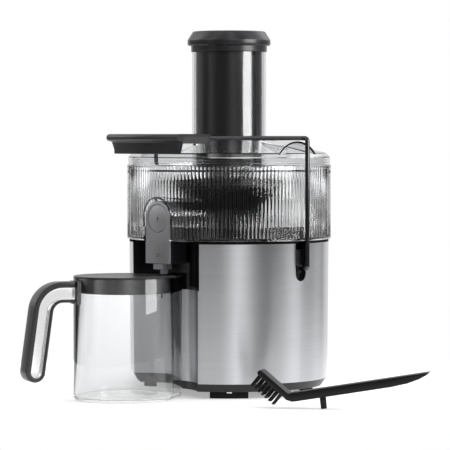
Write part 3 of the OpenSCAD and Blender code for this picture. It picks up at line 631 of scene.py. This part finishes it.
def arch_bar(half, crown, low, y0, y1):
    """A bar with a round top, lying along Y."""
    bm = slab(arch_outline(half, crown, low), -y1, -y0)
    return moved(bm, Matrix.Rotation(math.radians(90), 4, "X"))


spout_low, spout_high = extent("spout_cover")
spout_half = spout_high[0]
tunnel_half = spout_half + 1.2
tunnel_crown = spout_high[2] + 2.8
wall = cut(fluted_wall(), arch_bar(tunnel_half, tunnel_crown, bowl_z0 - 5, -bowl_r - 5, -bowl_r / 2))
piece("bowl_wall", wall, clear_bowl, "base", ["pulp_container"], sharp=50)

# %% [markdown]
# Inside the wall, the bowl has a ring-shaped floor with a collar at its middle, and an arched tunnel
# that keeps the pulp off the spout. They are separate closed walls, with a hair of air between them.

# %% Model the bowl's floor and tunnel
DRUM_R = 50.4
AIR = 0.15
collar_r = DRUM_R + 1
collar_out = collar_r + WALL
collar_z1 = floor_z + 19
floor_r = bowl_r - WALL - AIR
floor_profile = [(floor_r, floor_z), (floor_r, floor_z + WALL), (collar_out + 2, floor_z + WALL),
                 (collar_out, floor_z + WALL + 2), (collar_out, collar_z1), (collar_r, collar_z1),
                 (collar_r, floor_z)]
tunnel_cut = arch_bar(tunnel_half + 0.1, tunnel_crown + 0.1, bowl_z0 - 5, -bowl_r - 5, -collar_r + 8)
piece("bowl_floor", cut(turned(floor_profile), tunnel_cut), clear_bowl, "base")

TUNNEL_WALL = 1.7
tunnel = arch_bar(tunnel_half + TUNNEL_WALL, tunnel_crown + TUNNEL_WALL, floor_z + WALL + AIR,
                  -bowl_r + WALL + 0.6, -collar_r - 13)
tunnel = cut(tunnel, arch_bar(tunnel_half, tunnel_crown, bowl_z0 - 5, -bowl_r - 5, -20))
piece("bowl_tunnel", tunnel, clear_bowl, "base")

# %% [markdown]
# ## Lid details
# The lid keeps the frame's form. Its collar has fine level steps, and a ring of small pale nubs at
# the foot of the feed tube, which stiffen the joint between tube and dome.

# %% Model the collar steps and the nubs
lid_r = bowl_r - 1.4
steps = []
for height in (2.2, 5.0, 7.6):
    z = bowl_z1 + height
    steps.append(turned([(lid_r + 0.02, z - 0.35), (lid_r + 0.4, z - 0.2), (lid_r + 0.4, z + 0.2),
                         (lid_r + 0.02, z + 0.35)]))
piece("lid_steps", join(*steps), clear_lid, "base")

NUBS = 28
to_tube = Matrix.Translation((42.2 * MM, 0, (bowl_z1 + 12.5) * MM))
nubs = []
for k in range(NUBS):
    nub = bmesh.new()
    bmesh.ops.create_cube(nub, size=1.0)
    bmesh.ops.scale(nub, vec=(1.6 * MM, 2.4 * MM, 2.2 * MM), verts=nub.verts)
    soften(nub, 0.35, 1)
    moved(nub, Matrix.Rotation(2 * math.pi * k / NUBS, 4, "Z") @ to_tube)
    nubs.append(nub)
piece("lid_nubs", join(*nubs), frosted, "base")

# %% [markdown]
# ## The pusher's cap
# The cap is turned: a short skirt over the tube, a wide rolled band and a bevel up to a nearly flat
# top. Its corners are rounded in the profile, because a bevel on a spun mesh would pinch at the pole.

# %% Model the cap
cap_high = extent("pusher_cap")[1]
CAP_H = 23
band_r = cap_high[0]
cap_z0, cap_z1 = cap_high[2] - CAP_H, cap_high[2]
skirt_r = band_r - 4
cap_profile = [(0, cap_z1), (38, cap_z1)] + arc((38.6, cap_z1 - 2.4), 2.4, 84, 40, 5)
cap_profile += arc((band_r - 3, cap_z0 + 12.4), 3, 28, 0, 4)
cap_profile += arc((band_r - 2, cap_z0 + 9.2), 2, 0, -80, 5)
cap_profile += [(skirt_r + 0.5, cap_z0 + 7), (skirt_r, cap_z0 + 6.4), (skirt_r, cap_z0 + 0.9),
                (skirt_r - 0.5, cap_z0 + 0.35), (31, cap_z0 + 0.35), (30.5, cap_z0 - 9),
                (0, cap_z0 - 9)]
piece("cap_top", turned(cap_profile[::-1]), cap_grey, "pusher", ["pusher_cap"])

# %% [markdown]
# ## The locking rod and its grip
# The rod is one length of wire with a bend at each corner. A curve with a round bevel is the short
# way to it: straight runs, and an arc at each corner so that the wire never kinks.


# %% Model the rod
def wire_route(corners, radius, steps=8):
    """The corners of a route, each rounded with an arc of the same radius."""
    route = [corners[0]]
    for before, here, after in zip(corners, corners[1:], corners[2:]):
        back, ahead = (before - here).normalized(), (after - here).normalized()
        half = back.angle(ahead) / 2
        centre = here + (back + ahead).normalized() * (radius / math.sin(half))
        start, end = here + back * (radius / math.tan(half)), here + ahead * (radius / math.tan(half))
        axis = (start - centre).cross(end - centre).normalized()
        sweep = (start - centre).angle(end - centre)
        route += [centre + Matrix.Rotation(sweep * k / steps, 3, axis) @ (start - centre)
                  for k in range(steps + 1)]
    return route + [corners[-1]]


rod_low, rod_high = extent("lock_rod")
grip_low, grip_high = extent("lock_grip")
ROD_R = 2.5
ROD_BEND = 3.4
pivot_z = rod_low[2] + ROD_R
leg_x = rod_high[0] - ROD_R
rod_top = grip_high[2] - 4.6
curve = bpy.data.curves.new("rod", "CURVE")
curve.dimensions = "3D"
curve.bevel_depth = ROD_R * MM
curve.bevel_resolution = 5
curve.use_fill_caps = True
for side in (-1, 1):
    corners = [Vector((side * 98, 0, pivot_z)), Vector((side * leg_x, 0, pivot_z)),
               Vector((side * leg_x, 0, rod_top)), Vector((side * 112.2, -0.6, rod_top)),
               Vector((side * 52, -83.5, rod_top))]
    route = wire_route(corners, ROD_BEND)
    spline = curve.splines.new("POLY")
    spline.points.add(len(route) - 1)
    for point, where in zip(spline.points, route):
        point.co = (*(where * MM), 1)
rod_source = bpy.data.objects.new("rod_source", curve)
bpy.context.scene.collection.objects.link(rod_source)
bpy.context.view_layer.update()
rod_form = bmesh.new()
rod_form.from_mesh(rod_source.to_mesh())
bpy.data.objects.remove(rod_source)
piece("rod_wire", settle(rod_form), rod_plating, "locking_handle", ["lock_rod"])

# %% [markdown]
# The grip is a moulded band whose section runs round an arc: a flat top, a rounded lip to hook the
# fingers under, and a thin skirt. The section is spun part of a turn and trimmed by two upright
# planes, because its sides are parallel. The skirt's ends are then drawn in to slant.


# %% Model the grip
def grip_form():
    """The band, trimmed to its parallel sides, with a cheek on each side."""
    half = grip_high[0]
    top, low = grip_high[2], grip_low[2]
    face_r, lip_r, rear_r = 137, 145, 100
    section = [(rear_r, top - 10.4), (rear_r, top - 0.9), (rear_r + 0.9, top), (lip_r - 3.6, top)]
    section += arc((lip_r - 3.7, top - 3.9), 3.7, 76, -78, 10)
    section += [(face_r + 1.6, top - 8.2), (face_r + 0.2, top - 9.4), (face_r - 0.2, top - 10.6),
                (face_r - 0.6, low + 0.5), (face_r - 1.2, low), (face_r - 2.4, low + 0.4),
                (face_r - 2.6, top - 3), (rear_r + 2.4, top - 3), (rear_r + 2.4, top - 10.4)]
    bm = bmesh.new()
    ring = [bm.verts.new((0, -r * MM, z * MM)) for r, z in section]
    edges = [bm.edges.new((ring[k - 1], ring[k])) for k in range(len(ring))]
    moved(bm, Matrix.Rotation(math.radians(-38), 4, "Z"))
    bmesh.ops.spin(bm, geom=ring + edges, cent=(0, 0, 0), axis=(0, 0, 1), angle=math.radians(76),
                   steps=60)
    for side in (-1, 1):
        geom = bm.verts[:] + bm.edges[:] + bm.faces[:]
        bmesh.ops.bisect_plane(bm, geom=geom, plane_co=(side * half * MM, 0, 0), plane_no=(side, 0, 0),
                               clear_outer=True)
        rim = [e for e in bm.edges if e.is_boundary and abs(e.verts[0].co.x - side * half * MM) < 1e-6
               and abs(e.verts[1].co.x - side * half * MM) < 1e-6]
        bmesh.ops.contextual_create(bm, geom=rim)
    for vert in bm.verts:
        drop = (top - 10.8) * MM - vert.co.z
        if drop > 0 and abs(vert.co.x) > (half - 4) * MM:
            vert.co.x -= math.copysign(drop * 0.45, vert.co.x)
    settle(bm)
    cheeks = []
    rear = -math.sqrt(rear_r ** 2 - half ** 2) - 0.6
    front = -math.sqrt(face_r ** 2 - half ** 2) + 0.8
    outer, inner = half - 0.02, half - 2.6
    for side in (-1, 1):
        outline = [(side * outer, rear), (side * inner, rear - 1.4), (side * inner, front),
                   (side * outer, front)]
        cheeks.append(slab(outline, top - 10.3, top - 2.9))
    return join(bm, *cheeks)


piece("grip_band", grip_form(), grip_grey, "locking_handle", ["lock_grip"], sharp=28)

# %% [markdown]
# ## The spout
# The silver cover is a slab with an arched top and a softened edge. The drip-stop knob sits in a
# round gap in it. A small drop with a line under it marks the knob, and a small loop marks the lock
# position. Both are plain signs, raised a hair above the surface.


# %% Model the cover, the knob and their signs
def facing(bm, x, y, z):
    """Stands a form that was drawn flat upright, facing the front, at a place in mm."""
    stand = Matrix.Translation((x * MM, y * MM, z * MM)) @ Matrix.Rotation(math.radians(90), 4, "X")
    return moved(bm, stand)


knob_low, knob_high = extent("drip_knob")
knob_r = knob_high[0]
knob_z = (knob_low[2] + knob_high[2]) / 2
front_y = spout_low[1]
COVER_T, KNOB_T, INK = 2.2, 3.6, 0.12
cover = slab(arch_outline(spout_half, spout_high[2], spout_low[2]), 0, COVER_T)
soften(cover, 0.6, 3)
well = slab(arc((0, knob_z), knob_r + 0.55, 0, 360, 72)[:-1], -5, 10)
cover = facing(cut(cover, well), 0, front_y + COVER_T, 0)
piece("cover_face", cover, silver, "base", ["spout_cover"])

knob = slab(arc((0, 0), knob_r, 0, 360, 72)[:-1], 0, KNOB_T)
soften(knob, 0.5, 3)
spindle = slab(arc((0, 0), 3, 0, 360, 24)[:-1], -8.4, 0.1)
knob = facing(join(knob, spindle), 0, front_y + KNOB_T, knob_z)
piece("knob_face", knob, silver, "drip_stop", ["drip_knob"])

drop_outline = arc((0, -0.5), 1.1, -215, 35, 16) + [(0, 2.4)]
line_outline = [(-2.3, -3.4), (2.3, -3.4), (2.3, -3.05), (-2.3, -3.05)]
signs = facing(join(slab(drop_outline, -0.3, INK), slab(line_outline, -0.3, INK)), 0, front_y + 0.05,
               knob_z)
piece("knob_sign", signs, mark_ink, "drip_stop")

loop_outer = [(-2.6, 1.5)] + arc((1.2, 0), 1.5, 90, -90, 12) + [(-2.6, -1.5)]
loop_inner = [(-2.6, -0.95)] + arc((1.2, 0), 0.95, -90, 90, 12) + [(-2.6, 0.95)]
loop_sign = slab((loop_outer + loop_inner)[::-1], -0.3, INK)
loop_sign = facing(loop_sign, 0, front_y + 0.05, spout_low[2] + 9.5)
piece("lock_sign", loop_sign, mark_ink, "base")

# %% [markdown]
# ## The jug
# The jug is a round beaker with a pouring nose. Its plan is a big circle and a small one joined by
# their common tangents, so a ring of that plan can be drawn at any inset and the wall can follow it:
# up the outside from a rounded foot, over the rim, and down the inside to the floor.

# %% Set out the jug's plan
jug_h = extent("jug_body")[1][2]
JUG_AT = Vector((-12 * MM, -147.5 * MM, 0))
TO_JUG = Matrix.Translation(JUG_AT) @ Matrix.Rotation(math.radians(67), 4, "Z")
JUG_R = 55
NOSE_REACH = 66
NOSE_R = 8


def jug_plan(inset, steps=72):
    """The jug's outline in mm, the given distance inside its outer face."""
    reach = NOSE_REACH - NOSE_R
    spread = math.degrees(math.acos((JUG_R - NOSE_R) / reach))
    body = arc((0, 0), JUG_R - inset, spread, 360 - spread, steps)
    nose = arc((reach, 0), NOSE_R - inset, -spread, spread, 12)
    return body + nose


print("jug", round(jug_h, 1), "mm tall,", len(jug_plan(0)), "points round")

# %% [markdown]
# The wall grows ring by ring from the foot, and ends in the floor of the inside. Rings that lie close
# together round the foot and the rim give them their soft corners.


# %% Model the jug's wall
def jug_form():
    """The wall as one skin, from (inset, height) rings: foot, outside, rim, inside and floor."""
    rings = [(5.5, 0.0), (3.2, 0.3), (1.4, 1.2), (0.4, 2.6), (0.0, 4.6), (0.0, jug_h - 1.2),
             (0.35, jug_h - 0.25), (0.8, jug_h), (1.5, jug_h), (1.95, jug_h - 0.25),
             (2.2, jug_h - 1.0), (2.2, 6.4), (2.8, 4.4), (4.2, 3.0), (6.2, 2.5)]
    bm = bmesh.new()
    verts = [bm.verts.new((x * MM, y * MM, 0)) for x, y in jug_plan(rings[0][0])]
    edges = [bm.edges.new((verts[k - 1], verts[k])) for k in range(len(verts))]
    bm.faces.new(verts)
    for inset, height in rings[1:]:
        fresh, edges = grown_ring(bm, edges)
        for vert, (x, y) in zip(fresh, jug_plan(inset)):
            vert.co = (x * MM, y * MM, height * MM)
    bmesh.ops.contextual_create(bm, geom=edges)
    return settle(bm)


piece("jug_wall", moved(jug_form(), TO_JUG), clear_jug, "jug", ["jug_body"])

# %% [markdown]
# The jug's lid is turned, with a skirt that reaches down inside the wall and a notch over the nose.
# Its top is very slightly dished, so that drops run back in.

# %% Model the jug's lid
jug_lid_low, jug_lid_high = extent("jug_lid")
lid_top = jug_lid_high[2]
skirt_low = jug_lid_low[2]
SKIRT_R = 52.4
lid_profile = [(0, lid_top - 0.7), (46, lid_top - 0.6), (50, lid_top - 0.1), (JUG_R - 0.9, lid_top),
               (JUG_R - 0.1, lid_top - 0.6), (JUG_R - 0.1, lid_top - 1.6), (SKIRT_R, lid_top - 1.7),
               (SKIRT_R, skirt_low + 0.4), (SKIRT_R - 0.5, skirt_low), (SKIRT_R - 1.5, skirt_low),
               (SKIRT_R - 1.8, skirt_low + 0.4), (SKIRT_R - 1.8, lid_top - 2.2), (0, lid_top - 2.2)]
notch = slab(arc((48, 0), 13, 0, 360, 48)[:-1], jug_h - 40, jug_h + 20)
jug_cover = cut(turned(lid_profile[::-1]), notch)
piece("jug_cover", moved(jug_cover, TO_JUG), grip_grey, "jug", ["jug_lid"])

# %% [markdown]
# The handle is a clear core with a dark grey skin round its edge. Both follow one centreline: out
# from the wall, round a bend, and down to a free end. The skin's outline runs down the outside of
# the centreline and back along the window, and the slab's edges are softened all round.

# %% Model the handle
BEND = (73, jug_h - 36.5)
BEND_R = 22
LEG_TILT = 8
LEG_LEN = 66


def handle_outline(start, shift, half):
    """The strip half wide on each side of the handle's centreline, which is moved out by shift."""
    tilt = math.radians(LEG_TILT)
    mid = BEND_R + shift
    end = (BEND[0] + mid * math.cos(tilt) + LEG_LEN * math.sin(tilt),
           BEND[1] + mid * math.sin(tilt) - LEG_LEN * math.cos(tilt))
    outside = [(start, BEND[1] + mid + half)] + arc(BEND, mid + half, 90, LEG_TILT, 20)
    inside = arc(BEND, mid - half, LEG_TILT, 90, 20) + [(start, BEND[1] + mid - half)]
    return outside + arc(end, half, LEG_TILT, LEG_TILT - 180, 16) + inside


def handle_strip(outline, width):
    """A side-view outline of the handle, as a strip of the given width in its place on the jug."""
    bm = slab(outline, -width / 2, width / 2)
    upright = Matrix.Rotation(math.radians(90), 4, "X")
    return moved(bm, TO_JUG @ Matrix.Scale(-1, 4, (1, 0, 0)) @ upright)


def handle_part(outline, width, rounding, segments):
    """A softened strip, with its broad sides split into triangles so that they fill cleanly."""
    part = settle(handle_strip(outline[::-1], width))
    soften(part, rounding, segments, 50)
    bmesh.ops.triangulate(part, faces=[f for f in part.faces if len(f.verts) > 4])
    return part


ROOT = 59
WINDOW_SHIFT, WINDOW_HALF = -1.5, 6.5
skin = handle_outline(ROOT, 0, 11) + handle_outline(ROOT, WINDOW_SHIFT, WINDOW_HALF)[::-1]
piece("handle_skin", handle_part(skin, 21, 1.1, 3), grip_grey, "jug", ["jug_grip"])
core = handle_part(handle_outline(ROOT, WINDOW_SHIFT, WINDOW_HALF - 0.15), 18, 0.6, 2)
piece("handle_core", core, frosted, "jug", ["jug_handle_core"])

# %% [markdown]
# ## The cleaning brush
# The brush is one moulding in side view: a tilted head, a bend and a long handle with a slanted tip.
# Its outline is raised across the width and softened. A short tapered peg stands under the handle.

# %% Model the brush's handle
BRUSH_AT = Matrix.Translation((146.6 * MM, -122.1 * MM, 0)) @ Matrix.Rotation(math.radians(33), 4, "Z")
NECK = Vector((47, 12))
HEAD_LEN = 40
HEAD_TILT = math.radians(40)
BRUSH_W = 22
SLOPE = math.atan2(26, 156)


def in_plane(origin, angle, points):
    """Turns and moves side-view points."""
    c, s = math.cos(angle), math.sin(angle)
    return [(origin[0] + x * c - y * s, origin[1] + x * s + y * c) for x, y in points]


head_back = in_plane(NECK, -HEAD_TILT, [(-HEAD_LEN - 1.2, -2.4), (-HEAD_LEN - 2.2, 0),
                                        (-HEAD_LEN - 1, 2.2), (-HEAD_LEN + 1.5, 3.0), (-2.5, 3.0)])
head_front = in_plane(NECK, -HEAD_TILT, [(-0.5, -3.6), (-4, -3.0), (-HEAD_LEN + 0.5, -3.0)])
bar_top = in_plane(NECK, SLOPE, [(3.5, 4.4), (40, 4.4), (100, 4.4), (149.5, 4.4)])
bar_low = in_plane(NECK, SLOPE, [(146, 1.6), (138, -1.3), (126, -3.7), (108, -4.9), (60, -5.0),
                                 (8, -5.0), (3, -4.8)])
side_view = head_back + bar_top + bar_low + head_front
body = slab(side_view[::-1], -BRUSH_W / 2, BRUSH_W / 2)
soften(body, 1.3, 3, 30)
body = moved(body, BRUSH_AT @ Matrix.Rotation(math.radians(90), 4, "X"))
peg = bmesh.new()
bmesh.ops.create_cone(peg, cap_ends=True, segments=28, radius1=3.2 * MM, radius2=3.5 * MM,
                      depth=14.4 * MM)
soften(peg, 0.5, 2, 60)
peg_lean = Matrix.Rotation(math.radians(-6), 4, "Y")
moved(peg, BRUSH_AT @ Matrix.Translation((82.1 * MM, 0, 7.6 * MM)) @ peg_lean)
piece("brush_handle", join(body, peg), black_satin, "brush", ["brush_body"])

# %% [markdown]
# Each tuft is a bundle of bristles round one hole of the head. A spiral spreads them evenly in the
# hole, and a small random lean keeps them from looking machined.

# %% Model the tufts
random.seed(7)
bristles = bmesh.new()
TUFTS, ROWS, BUNDLE = 5, 7, 11
BRISTLE_LEN = 13.8
LEAN = 0.05
at_neck = Matrix.Translation((NECK[0] * MM, 0, NECK[1] * MM))
into_head = BRUSH_AT @ at_neck @ Matrix.Rotation(HEAD_TILT, 4, "Y")
for row in range(ROWS):
    for tuft in range(TUFTS):
        for strand in range(BUNDLE):
            reach = 1.25 * math.sqrt((strand + 0.5) / BUNDLE)
            turn_here = strand * 2.4
            foot = Vector((-HEAD_LEN + 2 + row * (HEAD_LEN - 6) / ROWS + reach * math.cos(turn_here),
                           (tuft - 2) * 4 + reach * math.sin(turn_here), -3))
            lean = Matrix.Rotation(random.uniform(-LEAN, LEAN), 4, "X") @ Matrix.Rotation(
                random.uniform(-LEAN, LEAN), 4, "Y")
            half_down = Matrix.Translation((0, 0, -BRISTLE_LEN / 2 * MM))
            place = into_head @ Matrix.Translation(foot * MM) @ lean @ half_down
            bmesh.ops.create_cone(bristles, cap_ends=True, segments=5, radius1=0.24 * MM,
                                  radius2=0.34 * MM, depth=BRISTLE_LEN * MM, matrix=place)
piece("brush_tufts", bristles, black_satin, "brush", ["brush_bristles"])

# %% [markdown]
# ## Floor
# A plain pale disc, just bright enough to meet the backdrop without a visible edge. It is kept small,
# so that the steel still reflects the bands of the sky and not a great white plain.

# %% Lay the floor
FLOOR_R = 0.48
floor_form = bmesh.new()
bmesh.ops.create_circle(floor_form, cap_ends=True, segments=64, radius=FLOOR_R)
floor_mesh = bpy.data.meshes.new("floor")
floor_form.to_mesh(floor_mesh)
floor_form.free()
pale = Finish("pale_table", Emission_Strength=1.0)
cloud = pale.noise(pale.place(), 3, 2.0)
pale.feed("Base Color", pale.between(cloud, (0.86, 0.86, 0.865), (0.88, 0.88, 0.885)))
pale.feed("Emission Color", pale.between(cloud, (0.36, 0.36, 0.36), (0.38, 0.38, 0.38)))
pale.shader.inputs["Roughness"].default_value = 0.8
floor_mesh.materials.append(pale.material)
floor = bpy.data.objects.new("floor", floor_mesh)
bpy.context.scene.collection.objects.link(floor)
print("floor", round(2 * FLOOR_R, 2), "m across")
